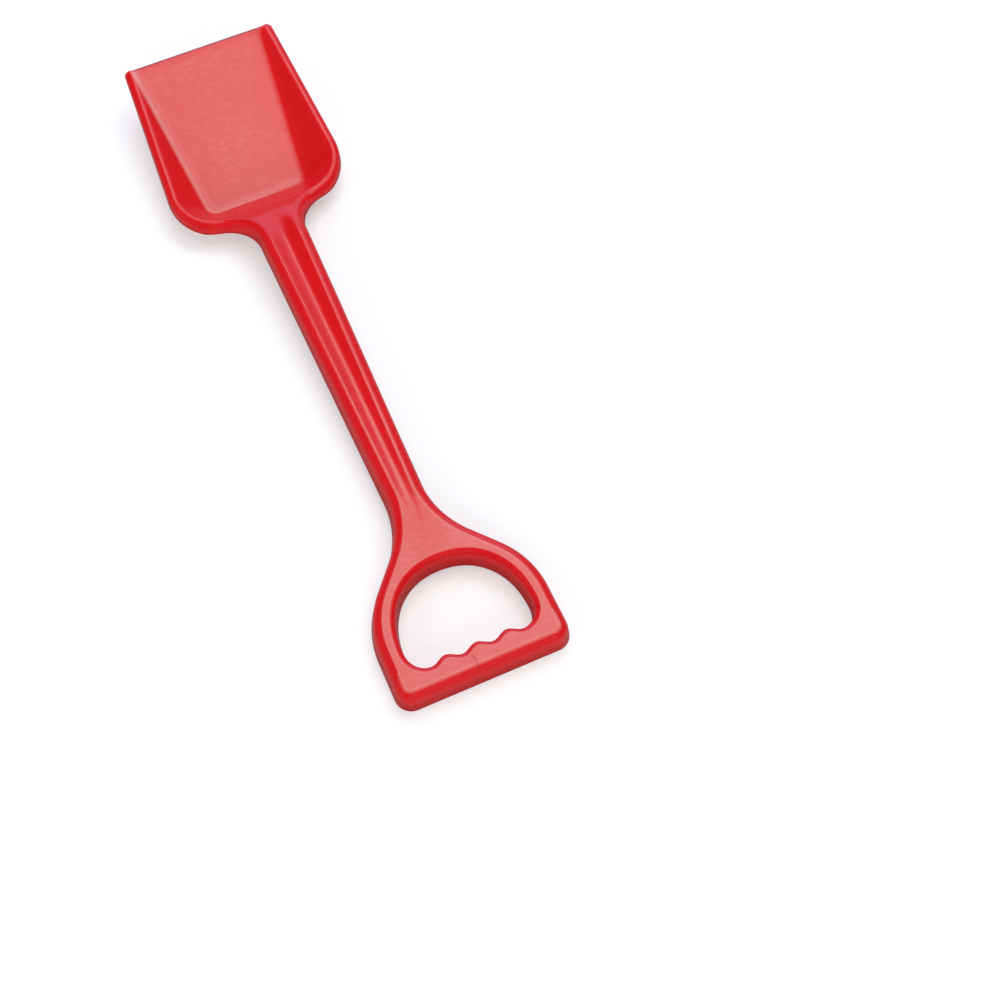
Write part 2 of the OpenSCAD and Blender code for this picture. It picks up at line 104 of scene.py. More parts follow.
class ShovelSizes(bpy.types.PropertyGroup):
    """Sizes of the moulding, as in its construction."""

    overall_len: length("Length", "Tip of the blade to the end of the grip", 400)
    wall: length("Wall", "Thickness of the moulded wall", 2.5)
    draft: angle("Draft", "Least slope of the flanges", 5)
    crest_r: length("Crest radius", "Radius at the crest of a rim or a ridge", 5.5)
    tip_w: length("Tip width", "Width of the blade at the tip", 86.5)
    blade_w: length("Blade width", "Width where the sides and the rear edge cross", 100.5)
    blade_len: length("Blade length", "Tip to the rear edge beside the shoulders", 104)
    rear_sweep: length("Rear sweep", "How much further back the rear edge meets the shaft", 11)
    tip_corner_r: length("Tip corner", "Corner radius at the tip", 3)
    shoulder_r: length("Shoulder", "Corner radius at the shoulders", 26.5)
    neck_r: length("Neck radius", "Radius between the rear edge and the shaft", 21.5)
    wall_angle: angle("Wall slope", "Slope of the scoop's walls", 46)
    rim_w: length("Rim width", "Outer edge to the crest of the rim", 3.7)
    floor_len: length("Floor length", "Tip to the crease of the back slope", 90.5)
    scoop_depth: length("Scoop depth", "Depth of the floor under the rim at the crease", 17)
    tip_depth: length("Tip depth", "Depth of the floor under the rim at the tip", 0.6)
    rim_rise: length("Rim rise", "Rise of the rim from the shoulders to the tip", 10)
    tip_flange: length("Tip flange", "Height of the flange at the tip", 3.7)
    shoulder_flange: length("Shoulder flange", "Height of the flange at the shoulders", 7.5)
    rim_blend: length("Rim blend", "Blend between the rim and the walls", 1.6)
    floor_blend: length("Floor blend", "Blend between the walls and the floor", 3.6)
    neck_w: length("Neck width", "Width of the shaft at the neck", 26.4)
    yoke_w: length("Yoke width", "Width of the shaft at the yoke", 21.2)
    ridge_pitch: length("Ridge pitch", "Distance between the ridges at the neck", 14.8)
    ridge_pitch_yoke: length("Ridge pitch at the yoke", "Distance between the ridges", 7.2)
    ridge_h: length("Ridge height", "Height of the ridges over the rim", 8)
    neck_flange: length("Neck flange", "Height of the flange at the neck", 12)
    yoke_flange: length("Yoke flange", "Height of the flange at the yoke", 13)
    neck_rise_len: length("Neck rise", "Length of the rise from the rim to the ridges", 29)
    neck_blend: length("Neck blend", "Blend between the back slope and the neck", 5)
    valley_depth: length("Valley depth", "Depth between the ridges", 3.4)
    valley_start_drop: length("Valley start", "Extra depth where the valley starts", 2)
    valley_close_len: length("Valley end", "Length over which the valley runs out", 60)
    valley_run_out: length("Valley run-out", "How far the valley's point runs into the yoke", 6)
    rib_count: bpy.props.IntProperty(name="Cross ribs", description="Ribs in the open back",
                                     default=4, min=2, max=6)
    rib_t: length("Rib", "Thickness of a cross rib", 1.8)
    rib_recess: length("Rib recess", "Height of a rib over the flange's edge", 1.5)
    handle_w: length("Handle width", "Width of the handle where its sides begin", 90.5)
    grip_w: length("Grip width", "Width of the handle at the grip", 91.5)
    yoke_reach: length("Yoke reach", "End of the grip to where the yoke spreads", 87)
    bow_reach: length("Bow reach", "End of the grip to where bow and sides cross", 47)
    yoke_r: length("Yoke radius", "Radius of the hollow sides of the yoke", 48)
    bow_r: length("Bow radius", "Radius of the bow", 48)
    grip_corner_r: length("Grip corner", "Corner radius at the ends of the grip", 8.6)
    top_h: length("Handle height", "Height of the flat top over the rim", 6)
    handle_flange: length("Handle flange", "Height of the handle's flange", 14)
    top_inset: length("Top inset", "Outer edge to the flat top", 6.6)
    hole_edge_w: length("Hole edge", "Width of the rounded edge of the hand hole", 4.5)
    hole_w: length("Hole width", "Width of the hand hole", 65.5)
    hole_reach: length("Hole reach", "End of the grip to the widest place of the hole", 25)
    arch_h: length("Arch height", "Height of the arch of the hole", 36.8)
    grip_bar_w: length("Grip bar", "Width of the grip at the crests", 17.7)
    finger_pitch: length("Finger pitch", "Distance between the crests", 16)
    finger_depth: length("Finger depth", "Depth of the finger grooves", 2.9)
    arch_power: bpy.props.FloatProperty(name="Arch squareness", description="1 is an ellipse",
                                        default=0.92)


class ShovelFinish(bpy.types.PropertyGroup):
    """Colours, gloss and wear of the plastic, with painted sheen and painted highlights."""

    plastic: colour("Plastic", "Colour of the plastic", (0.68, 0.004, 0.008))
    # The pale colour stands for rubbed plastic, and also for painted sheen on the flats and painted
    # highlights in creases and at borders
    pale: colour("Pale wear", "Colour of plastic that sand and hands have rubbed",
                 (0.86, 0.48, 0.43))
    # The flat amount is pale wear with painted sheen over the flats; the crease and border amount is
    # painted highlights
    haze: amount("Haze", "Pale wear all over the flat faces", 0.21)
    marks: amount("Drag marks", "Further pale wear along the drag marks", 0.36)
    creases: amount("Creases", "Pale wear in creases and at the borders of the flats", 0.3)
    weld: colour("Weld line", "Colour of the weld line on the grip", (0.4, 0.006, 0.012))
    weld_share: amount("Weld strength", "How strongly the weld line shows", 0.55)
    roughness: amount("Roughness", "Roughness of the plain skin", 0.26)
    flat_roughness: amount("Flat roughness", "Roughness of the flat faces", 0.36)


def line(a, b, v):
    """Share of the way from a to b, kept between 0 and 1."""
    return np.clip((v - a) / (b - a), 0, 1)


def ease(a, b, v):
    """A smooth share of the way from a to b."""
    t = line(a, b, v)
    return t * t * (3 - 2 * t)


def mix(a, b, t):
    """From a to b."""
    return a + (b - a) * t


def soft_min(a, b, k):
    """The smaller of a and b, blended over k."""
    h = np.maximum(k - np.abs(a - b), 0) / k
    return np.minimum(a, b) - h * h * k / 4


def soft_max(a, b, k):
    """The larger of a and b, blended over k."""
    return -soft_min(-a, -b, k)


def unit(p):
    """p at length 1."""
    return p / np.linalg.norm(p)


def round_corner(a, p, b, r, n):
    """The arc of radius r that rounds corner p, from tangent point to tangent point."""
    u, w = unit(a - p), unit(b - p)
    half = np.arccos(u @ w) / 2
    centre = p + unit(u + w) * r / np.sin(half)
    start, end = p + u * r / np.tan(half) - centre, p + w * r / np.tan(half) - centre
    turn = np.pi - 2 * half
    shares = np.arange(n + 1)[:, None] / n
    return centre + (np.sin(turn * (1 - shares)) * start + np.sin(turn * shares) * end) / np.sin(turn)


def straight(a, b, n, last_even=0.0):
    """A leg in n steps, of which a length at the far end is even."""
    share = last_even / np.linalg.norm(b - a) if last_even else 1.0
    t = 1 - np.arange(1, n + 1)[:, None] / n
    return b + (a - b) * (share * t + (1 - share) * t ** 3)


def outline(corners, radii, steps, last_even=0.0):
    """An outline through corners, with a fixed number of steps on each leg and corner."""
    pts = [np.array(p, float) for p in corners]
    rows = [pts[0][None]]
    for i, r in enumerate(radii):
        arc = round_corner(pts[i], pts[i + 1], pts[i + 2], r, steps[2 * i + 1])
        rows += [straight(rows[-1][-1], arc[0], steps[2 * i]), arc[1:]]
    rows.append(straight(rows[-1][-1], pts[-1], steps[2 * len(radii)], last_even))
    return np.concatenate(rows)


def gathered(t):
    """Shares that lie closer together at both ends."""
    return t - GATHERING * np.sin(2 * np.pi * t) / (2 * np.pi)


class Moulding:
    """The wall of the shovel: rows of points of its outer face, and the points behind them.

    x runs across, v from the tip to the end of the grip, z is the height over the rim."""

    def __init__(self, sizes):
        for name in sizes.__annotations__:
            setattr(self, name, getattr(sizes, name))
        self.rear_v = self.blade_len
        self.slope = np.tan(self.wall_angle)
        self.back_v = self.floor_len + (self.scoop_depth + self.rim_blend) / self.slope
        self.neck_start_v = self.back_v - self.rim_blend
        self.neck_end_v = self.neck_start_v + self.neck_rise_len
        self.shaft_start_v = self.rear_v + self.rear_sweep + self.neck_r
        self.yoke_v = self.overall_len - self.yoke_reach
        # The yoke's corner turns by less than 45 degrees, so its arc begins on the handle
        self.shaft_end_v = self.yoke_v - self.yoke_r * np.tan(np.radians(22.5)) - self.wall
        self.valley_end_v = self.yoke_v + self.valley_run_out
        self.bow_v = self.overall_len - self.bow_reach
        self.hole_v = self.overall_len - self.hole_reach
        self.crest_v = self.overall_len - self.grip_bar_w
        self.side_taper = np.arctan((self.blade_w - self.tip_w) / 2 / self.rear_v)
        self.scoop_corner_r = self.shoulder_r - self.rim_w
        # Three finger grooves: the last crest is a pitch and a half from the middle
        self.groove_x = 1.5 * self.finger_pitch
        self.blade()
        self.handle()

    # Heights along the shovel

    def rim_z(self, v):
        return self.rim_rise * (1 - v / self.floor_len)

    def ridge_z(self, v):
        return mix(self.ridge_h, self.top_h, line(self.neck_end_v, self.yoke_v, v))

    def neck_rise(self, v):
        t = line(self.neck_start_v, self.neck_end_v, v)
        return t * (2 - t)

    def crest_z(self, v):
        return mix(self.rim_z(v), self.ridge_z(v), self.neck_rise(v))

    def floor_z(self, v):
        return mix(self.rim_rise - self.tip_depth, -self.scoop_depth, v / self.floor_len)

    def edge_z(self, v):
        flange = (mix(self.tip_flange, self.shoulder_flange, line(0, self.floor_len, v))
                  + (self.neck_flange - self.shoulder_flange) * self.neck_rise(v)
                  + (self.yoke_flange - self.neck_flange)
                  * line(self.neck_end_v, self.shaft_end_v, v)
                  + (self.handle_flange - self.yoke_flange)
                  * ease(self.shaft_end_v, self.bow_v, v))
        return self.crest_z(v) - flange

    def shaft_half(self, v):
        share = (v - self.shaft_start_v) / (self.yoke_v - self.shaft_start_v)
        return mix(self.neck_w, self.yoke_w, share) / 2

    def ridge_half(self, v):
        share = (v - self.shaft_start_v) / (self.yoke_v - self.shaft_start_v)
        return mix(self.ridge_pitch, self.ridge_pitch_yoke, share) / 2

    def crest_side_x(self, v):
        return self.tip_w / 2 + v * np.tan(self.side_taper) - self.rim_w / np.cos(self.side_taper)

    def scoop_dist(self, x, v):
        """Distance inside the crest of the rim, round at the rear corners."""
        side = (self.crest_side_x(v) - np.abs(x)) * np.cos(self.side_taper)
        back, r = self.back_v - v, self.scoop_corner_r
        round_dist = r - np.hypot(r - side, r - back)
        return np.where((side < r) & (back < r), round_dist, np.minimum(side, back))

    def valley_z(self, x, v):
        """Depth of the valley between the ridges, under the crest line."""
        half = self.ridge_half(np.minimum(v, self.yoke_v))
        share = half / self.ridge_half(self.shaft_start_v)
        started = ease(self.neck_start_v, self.shaft_start_v, v)
        closed = line(self.yoke_v - self.valley_close_len, self.valley_end_v, v) ** 3
        narrowed = line(self.yoke_v - self.valley_run_out, self.valley_end_v, v)
        deep = (self.valley_depth * share * share * (1 - closed)
                + self.valley_start_drop * (1 - started))
        over = deep - self.ridge_z(v) + self.crest_z(np.maximum(v, self.neck_start_v))
        half = half * (1 - VALLEY_NARROWING * narrowed)
        fall = ((np.hypot(x / half, VALLEY_ROUND) - VALLEY_ROUND)
                / (np.hypot(1, VALLEY_ROUND) - VALLEY_ROUND))
        return np.maximum(over, 0) * soft_max(1 - fall, 0, VALLEY_ROUND)

    def top_z(self, x, v):
        """Height of the outer face inside the crest line."""
        slope_z = (self.rim_z(np.minimum(v, self.back_v)) + self.rim_blend
                   - self.scoop_dist(x, v) * self.slope)
        scoop_z = soft_max(self.floor_z(v), slope_z, self.floor_blend)
        share = (ease(self.floor_len, self.back_v, v)
                 * (1 - ease(self.neck_w / 2, self.neck_w, np.abs(x))))
        blend = mix(self.rim_blend, self.neck_blend, share)
        return soft_min(scoop_z, self.crest_z(v) - self.valley_z(x, v), blend)

    # Rows of pairs: a point of the outer face and the point behind it

    def skin(self, p):
        """Points of the outer face over p, and the points a wall behind them.

        The face's direction comes from its heights at a small step d to each side."""
        x, v, d = p[:, 0], p[:, 1], self.wall / 50
        z = self.top_z(x, v)
        n = np.stack([self.top_z(x - d, v) - self.top_z(x + d, v),
                      self.top_z(x, v - d) - self.top_z(x, v + d), np.full_like(x, 2 * d)], -1)
        n *= self.wall / np.linalg.norm(n, axis=1, keepdims=True)
        top = np.stack([x, v, z], -1)
        return np.stack([top, top - n], 1)

    def flange(self, edge, crest, edge_h, crest_h, normal):
        """A flange from its lower edge, up its flank and over the crest radius to the crest."""
        inset = np.linalg.norm(edge - crest)
        out = (edge - crest) / inset
        h, draft = crest_h - edge_h, self.draft
        most = min((inset - h * np.tan(draft)) * np.cos(draft), h) / (1 - np.sin(draft))
        r = min(self.crest_r, most)
        lean = np.arccos(r / np.hypot(inset, h - r)) - np.arctan2(h - r, inset)
        back = edge - out * self.wall / np.cos(lean)
        low = [[[*edge, edge_h], [*back, edge_h]]]
        drop = []
        for j in range(ROUND_STEPS + 1):
            a = mix(lean, np.pi / 2, j / ROUND_STEPS)
            p = np.array([*(crest + out * r * np.cos(a)), crest_h - r + r * np.sin(a)])
            drop.append([p, p - self.wall * unit(np.append(out, 0) * np.cos(a)
                                                 + normal * np.sin(a))])
        return np.array(low + drop)

    def outer_flange(self, edge, crest):
        pair = self.skin(crest[None])[0]
        return self.flange(edge, crest, float(self.edge_z(edge[1])), pair[0, 2],
                           (pair[0] - pair[1]) / self.wall)

    def hole_flange(self, edge, crest):
        return self.flange(edge, crest, self.top_h - self.handle_flange, self.top_h,
                           np.array([0, 0, 1]))

    def blade(self):
        """Outer edge, crest line and floor of the blade."""
        s = self
        s.arc_row = sum(BLADE_STEPS[:5])
        s.rear_row = sum(BLADE_STEPS[:4])

        def corners(inset, half):
            side, v = inset / np.cos(s.side_taper), s.rear_v - inset
            x = s.tip_w / 2 - side
            return [[0, inset], [x + inset * np.tan(s.side_taper), inset],
                    [x + v * np.tan(s.side_taper), v], [half, v + s.rear_sweep],
                    [half, s.shaft_start_v]]

        s.blade_edge = outline(corners(0, s.shaft_half(s.shaft_start_v)),
                               [s.tip_corner_r, s.shoulder_r, s.neck_r], BLADE_STEPS)
        s.blade_crest = outline(corners(s.rim_w, s.ridge_half(s.shaft_start_v)),
                                [max(s.tip_corner_r - s.rim_w, s.wall / 4), s.scoop_corner_r,
                                 s.neck_r + s.rim_w], BLADE_STEPS)
        flat = s.rim_blend + s.floor_blend
        front = s.rim_w + s.wall
        s.floor_back_v = s.floor_len - s.floor_blend / s.slope

        def half(v):
            return s.crest_side_x(v) - ((s.rim_z(v) - s.floor_z(v) + flat)
                                        / s.slope / np.cos(s.side_taper))

        leg = s.blade_crest[s.rear_row][0] - s.blade_crest[s.arc_row][0]
        foot = half(s.floor_back_v) - s.wall - leg
        s.floor_rim = outline([[0, front], [half(front), front],
                               [half(s.floor_back_v), s.floor_back_v], [foot, s.floor_back_v]],
                              [s.wall / 2, s.wall], BLADE_STEPS)

    def handle(self):
        """Outer edge and crest line of the handle, and the rim of the hand hole."""
        s = self
        slant = np.arctan((s.handle_w - s.yoke_w) / 2 / (s.bow_v - s.yoke_v))

        def corners(inset, half_a, half_b):
            side, slant_x = s.handle_w / 2 - inset, inset / np.cos(slant)
            end_v = s.overall_len - inset
            return [[half_a, s.shaft_end_v],
                    [half_b, s.yoke_v + (half_b - s.yoke_w / 2 + slant_x) / np.tan(slant)],
                    [side, s.bow_v + (slant_x - inset) / np.tan(slant)],
                    [s.grip_w / 2 - inset, end_v], [0, end_v]]

        s.handle_edge = outline(corners(0, s.shaft_half(s.shaft_end_v), s.yoke_w / 2),
                                [s.yoke_r, s.bow_r, s.grip_corner_r], HANDLE_STEPS, s.groove_x)
        s.handle_crest = outline(
            corners(s.top_inset, s.ridge_half(s.shaft_end_v), s.ridge_pitch_yoke / 2),
            [s.yoke_r + s.top_inset, s.bow_r - s.top_inset,
             max(s.grip_corner_r - s.top_inset, s.wall / 4)], HANDLE_STEPS, s.groove_x)
        s.hole_low, s.hole_high = s.hole_rim(0.0), s.hole_rim(s.hole_edge_w)

    def groove_v(self, x):
        wave = 1 - np.cos(2 * np.pi * x / self.finger_pitch)
        return self.crest_v + self.finger_depth * wave / 2

    def hole_rim(self, reach):
        """The rim of the hand hole, widened by reach: arch, corner and finger grooves."""
        half = self.hole_w / 2
        arch, corner = sum(HANDLE_STEPS[2:4]), sum(HANDLE_STEPS[4:6])
        p = self.handle_crest[sum(HANDLE_STEPS[:2]):][:arch + 1]
        a = np.arctan2(p[:, 0] / half, (self.hole_v - p[:, 1]) / self.arch_h)
        a = np.pi / 2 * (a - a[0]) / (a[-1] - a[0])
        rows = [np.stack([(half + reach) * np.sin(a) ** self.arch_power,
                          self.hole_v - (self.arch_h + reach)
                          * np.maximum(np.cos(a), 0) ** self.arch_power], -1)]
        a = np.pi / 2 * np.arange(1, corner + 1) / corner
        deep = self.groove_v(self.groove_x) - self.hole_v
        rows.append(np.stack([self.groove_x + (half - self.groove_x + reach) * np.cos(a),
                              self.hole_v + (deep + reach) * np.sin(a)], -1))
        x = self.groove_x * (1 - np.arange(1, HANDLE_STEPS[6] + 1) / HANDLE_STEPS[6])
        rows.append(np.stack([x, self.groove_v(x) + reach], -1))
        return np.concatenate(rows)

    # Sheets of the right half

    def wall_skins(self, crest, foot):
        t = gathered(np.arange(1, WALL_STEPS + 1) / WALL_STEPS)[:, None]
        return self.skin(mix(crest, foot, t))

    def scoop_row(self, i):
        return np.concatenate([self.outer_flange(self.blade_edge[i], self.blade_crest[i]),
                               self.wall_skins(self.blade_crest[i], self.floor_rim[i])])

    def section_row(self, edge, crest, middle_v):
        t = (np.arange(1, ACROSS_STEPS + 1) / ACROSS_STEPS)[:, None]
        skins = self.skin(mix(crest, np.array([0, middle_v]), t))
        return np.concatenate([self.outer_flange(edge, crest), skins])

    def rise_row(self, i):
        share = (i - self.arc_row) / (len(self.blade_edge) - 1 - self.arc_row)
        return self.section_row(self.blade_edge[i], self.blade_crest[i],
                                mix(self.back_v, self.shaft_start_v, share))

    def back_row(self, k, first):
        t = k / ACROSS_STEPS
        crest = mix(self.blade_crest[self.arc_row], np.array([0, self.back_v]), t)
        foot = mix(self.floor_rim[self.arc_row], np.array([0, self.floor_back_v]), t)
        return np.concatenate([first[ROUND_STEPS + 1 + k][None], self.wall_skins(crest, foot)])

    def shaft_row(self, v):
        return self.section_row(np.array([self.shaft_half(v), v]),
                                np.array([self.ridge_half(v), v]), v)

    def spread_row(self, i):
        share = i / sum(HANDLE_STEPS[:2])
        return self.section_row(self.handle_edge[i], self.handle_crest[i],
                                mix(self.shaft_end_v, self.hole_high[0][1], share))

    def bow_row(self, i):
        k = i - sum(HANDLE_STEPS[:2])
        t = (np.arange(1, ACROSS_STEPS) / ACROSS_STEPS)[:, None]
        flat = self.skin(mix(self.handle_crest[i], self.hole_high[k], t))
        hole = self.hole_flange(self.hole_low[k], self.hole_high[k])[::-1]
        return np.concatenate([self.outer_flange(self.handle_edge[i], self.handle_crest[i]),
                               flat, hole])

    def sheets(self):
        """Every sheet as (rows, has a flange, has a hole flange)."""
        first = self.rise_row(self.arc_row)
        stations = mix(self.shaft_start_v, self.shaft_end_v,
                       np.arange(SHAFT_STEPS + 1) / SHAFT_STEPS)
        spread, bow = sum(HANDLE_STEPS[:2]), len(self.handle_edge)
        return [
            ([self.scoop_row(i) for i in range(self.arc_row + 1)], True, False),
            ([self.back_row(k, first) for k in range(ACROSS_STEPS + 1)], False, False),
            ([self.rise_row(i) for i in range(self.arc_row, len(self.blade_edge))], True, False),
            ([self.shaft_row(v) for v in stations], True, False),
            ([self.spread_row(i) for i in range(spread + 1)], True, False),
            ([self.bow_row(i) for i in range(spread, bow)], True, True)]

    def lay(self):
        """The turn and the move that lay the moulding on its heel and its grip."""
        first = self.rise_row(self.arc_row)
        heel = np.concatenate([self.back_row(k, first)[:, 1] for k in range(ACROSS_STEPS + 1)])
        grip_z = self.edge_z(self.overall_len)
        rise = np.max((grip_z - heel[:, 2]) / (self.overall_len - heel[:, 1]))
        tilt = np.arctan(rise)
        sin, cos = np.sin(tilt), np.cos(tilt)

        def reach(row):
            return -row[:, 0, 1] * cos - row[:, 0, 2] * sin

        tip = reach(self.scoop_row(0)).max()
        end = reach(self.bow_row(len(self.handle_edge) - 1)).min()
        move = Vector((0, -(tip + end) / 2, self.overall_len * sin - grip_z * cos))
        return Matrix.Translation(move) @ Matrix.Rotation(tilt, 4, "X")

    def place(self, points):
        """Points (x, v, z) laid down in the frame."""
        turn = np.array(self.lay())
        flat = points.reshape(-1, 3) * np.array([1, -1, 1])
        return (flat @ turn[:3, :3].T + turn[:3, 3]).reshape(points.shape)


def shell_mesh(moulding):
    """The whole wall as one closed mesh, from its right half and the mirror of it."""
    points, faces = [], []

    def add(rows, flange, hole):
        rows = np.array(rows)
        n, m = rows.shape[:2]
        base = sum(len(p) for p in points)
        points.append(rows.transpose(2, 0, 1, 3).reshape(-1, 3))

        def at(side, i, j):
            return base + (side * n + i) * m + j

        for i in range(n - 1):
            for j in range(m - 1):
                faces.append((at(0, i, j), at(0, i + 1, j), at(0, i + 1, j + 1), at(0, i, j + 1)))
                faces.append((at(1, i, j + 1), at(1, i + 1, j + 1), at(1, i + 1, j), at(1, i, j)))
            if flange:
                faces.append((at(0, i + 1, 0), at(0, i, 0), at(1, i, 0), at(1, i + 1, 0)))
            if hole:
                faces.append((at(0, i, m - 1), at(0, i + 1, m - 1),
                              at(1, i + 1, m - 1), at(1, i, m - 1)))

    for rows, flange, hole in moulding.sheets():
        add(rows, flange, hole)
    right = np.concatenate(points)
    count = len(right)
    left = right * np.array([-1, 1, 1])
    verts = moulding.place(np.concatenate([right, left]))
    faces += [tuple(count + k for k in reversed(face)) for face in faces]
    return verts, faces


def floor_faces(moulding, base):
    """The flat of the scoop's floor, closed over the ring that the walls leave open."""
    rim = moulding.floor_rim
    foot = rim[-1]
    extra = np.stack([foot[0] * (1 - np.arange(1, ACROSS_STEPS + 1) / ACROSS_STEPS),
                      np.full(ACROSS_STEPS, moulding.floor_back_v)], -1)
    half = np.concatenate([rim, extra])
    full = np.concatenate([half, half[-2:0:-1] * np.array([-1, 1])])
    centre = np.array([0, full[:, 1].mean()])
    rings = [full, centre + (full - centre) * FLOOR_RING]
    pairs = [moulding.skin(ring) for ring in rings]
    n = len(full)
    verts = np.concatenate([pairs[k][:, side] for side in (0, 1) for k in (0, 1)])
    faces = []
    for i in range(n):
        k = (i + 1) % n
        faces.append((base + i, base + k, base + n + k, base + n + i))
        faces.append((base + 3 * n + i, base + 3 * n + k, base + 2 * n + k, base + 2 * n + i))
    faces.append(tuple(base + n + i for i in range(n)))
    faces.append(tuple(base + 3 * n + i for i in reversed(range(n))))
    return moulding.place(verts), faces


def new_object(name, verts, faces):
    """An object at the origin from points and faces."""
    mesh = bpy.data.meshes.new(name)
    mesh.from_pydata([tuple(v) for v in verts], [], faces)
    obj = bpy.data.objects.new(name, mesh)
    bpy.context.scene.collection.objects.link(obj)
    return obj


def scoop_wear_and_highlights(m, x, v, outer):
    """The flat floor of the scoop, how pale it is from wear and painted sheen, and the painted
    highlights in its creases.
    """
    # The border of the pale patch lies a wall to one side and up the crease at the back
    shift_x, shift_v = x + m.wall, v - 1.1 * m.wall
    wall_z = (m.rim_z(np.minimum(shift_v, m.back_v)) + m.rim_blend
              - m.scoop_dist(shift_x, shift_v) * m.slope)
    # Depth of the wall's plane under the floor's, in walls: the floor shows where it is over 0
    deep = np.where(outer & (v < m.back_v), (m.floor_z(shift_v) - wall_z) / m.wall, -1)
    # The pale patch of wear and painted sheen, reaching further and softer up the crease on the right
    floor = mix(ease(-0.3, 0.3, deep), ease(-1, 1.6, deep), ease(0, m.blade_w / 4, x))
    rubbed_and_sheen = floor * mix(0.4, 0.8, ease(0.4 * m.wall, 2.4 * m.rim_w, v))
    # Painted highlight in the crease along the left wall, on that side only
    left = np.exp(-((deep - 0.6) / 0.7) ** 2) * (1 - ease(-m.rim_w, m.blade_w / 4, x))
    # Painted highlight in the crease at the back
    back = 0.8 * np.exp(-np.maximum(m.floor_len - shift_v, 0) / (1.5 * m.wall))
    return floor, rubbed_and_sheen, floor * np.maximum(left, back) * ease(0, m.rim_w, v)


def handle_wear_and_highlights(m, x, v, normals):
    """The flat top of the handle, how pale it is from wear and painted sheen, and the painted
    highlights at its borders.
    """
    upright = normals[:, 2]
    on_handle = ease(m.shaft_end_v - 2 * m.valley_close_len, m.shaft_end_v, v)
    outward = (normals[:, 0] * x - normals[:, 1] * (v - m.hole_v) > 0) & (v > m.hole_v)
    least = mix(FLAT_FROM, GRIP_FLAT_FROM, outward * ease(m.crest_v, m.crest_v + m.rim_w, v))
    flat = ease(least, least + FLAT_OVER, upright) * on_handle
    # Less pale in the middle of the yoke than on the rest of the flat top
    yoke_middle = np.exp(-(x / m.ridge_pitch_yoke / 1.5) ** 2
                       - ((v - m.yoke_v - m.rim_w) / m.yoke_w) ** 2)
    ridge = m.ridge_half(np.minimum(v, m.yoke_v))
    valley = ((1 - ease(ridge, ridge * 1.3, np.abs(x)))
              * (1 - ease(m.valley_end_v, m.valley_end_v + m.wall, v)))
    # Painted highlight along the borders of the flat top, outside the valley
    border = ease(0.97, 0.99, upright) * (1 - ease(0.994, 1, upright)) * on_handle * (1 - valley)
    return flat, flat * (1 - 0.4 * yoke_middle), 0.5 * border


def mark_wear_and_highlights(obj, moulding):
    """Stores what is flat, how pale it is from wear and painted sheen, and where painted highlights
    lie: 0 to 1 at each point.
    """
    mesh, turn = obj.data, np.array(moulding.lay())
    spots = (np.array([p.co for p in mesh.vertices]) - turn[:3, 3]) @ turn[:3, :3]
    normals = np.array([n.vector for n in mesh.vertex_normals]) @ turn[:3, :3]
    x, v = spots[:, 0], -spots[:, 1]
    scoop = scoop_wear_and_highlights(moulding, x, v, normals[:, 2] > OUTER_FROM)
    handle = handle_wear_and_highlights(moulding, x, v, normals)
    for name, here, there in zip(("flat", "worn", "edge"), scoop, handle):
        layer = mesh.attributes.new(name, "FLOAT", "POINT")
        layer.data.foreach_set("value", np.maximum(here, there).astype(np.float32))


def close_mesh(obj):
    """Merges doubles, drops what has no area, turns the faces outwards and smooths them."""
    bm = bmesh.new()
    bm.from_mesh(obj.data)
    bmesh.ops.remove_doubles(bm, verts=bm.verts, dist=MERGE_DIST)
    bmesh.ops.dissolve_degenerate(bm, edges=bm.edges, dist=MERGE_DIST)
    bmesh.ops.recalc_face_normals(bm, faces=bm.faces)
    bm.to_mesh(obj.data)
    bm.free()
    obj.data.shade_smooth()


def group(name, kind, inputs, outputs):
    """A node group with named sockets; an input's row may end in its default, least and most."""
    tree = bpy.data.node_groups.new(name, kind)
    for label, socket_type, *numbers in inputs:
        socket = tree.interface.new_socket(label, in_out="INPUT", socket_type=socket_type)
        if numbers:
            socket.default_value, socket.min_value, socket.max_value = numbers
    for label, socket_type in outputs:
        tree.interface.new_socket(label, in_out="OUTPUT", socket_type=socket_type)
    return tree, tree.nodes.new("NodeGroupInput"), tree.nodes.new("NodeGroupOutput")


def feed(tree, source, socket):
    """Links a socket's source to it, or sets it to a number, a vector or a colour."""
    if hasattr(source, "links"):
        tree.links.new(source, socket)
    else:
        socket.default_value = source


def calc(tree, operation, *values):
    """The result of a Math node on sockets or numbers."""
    node = tree.nodes.new("ShaderNodeMath")
    node.operation = operation
    for socket, value in zip(node.inputs, values):
        feed(tree, value, socket)
    return node.outputs[0]


def remap(tree, value, a, b, c, d, eased=True):
    """value mapped from a..b to c..d: eased and kept inside, or straight and on beyond."""
    node = tree.nodes.new("ShaderNodeMapRange")
    node.clamp = eased
    node.interpolation_type = "SMOOTHSTEP" if eased else "LINEAR"
    for socket, source in zip(node.inputs, (value, a, b, c, d)):
        feed(tree, source, socket)
    return node.outputs["Result"]


def noise(tree, vector, scale, detail, roughness=0.5):
    """The value of a noise texture."""
    node = tree.nodes.new("ShaderNodeTexNoise")
    for label, source in (("Vector", vector), ("Scale", scale), ("Detail", detail),
                          ("Roughness", roughness)):
        feed(tree, source, node.inputs[label])
    return node.outputs[0]


def stretched(tree, vector, x, y, z):
    """The coordinates scaled along each axis."""
    node = tree.nodes.new("ShaderNodeVectorMath")
    node.operation = "MULTIPLY"
    tree.links.new(vector, node.inputs[0])
    node.inputs[1].default_value = (x, y, z)
    return node.outputs["Vector"]


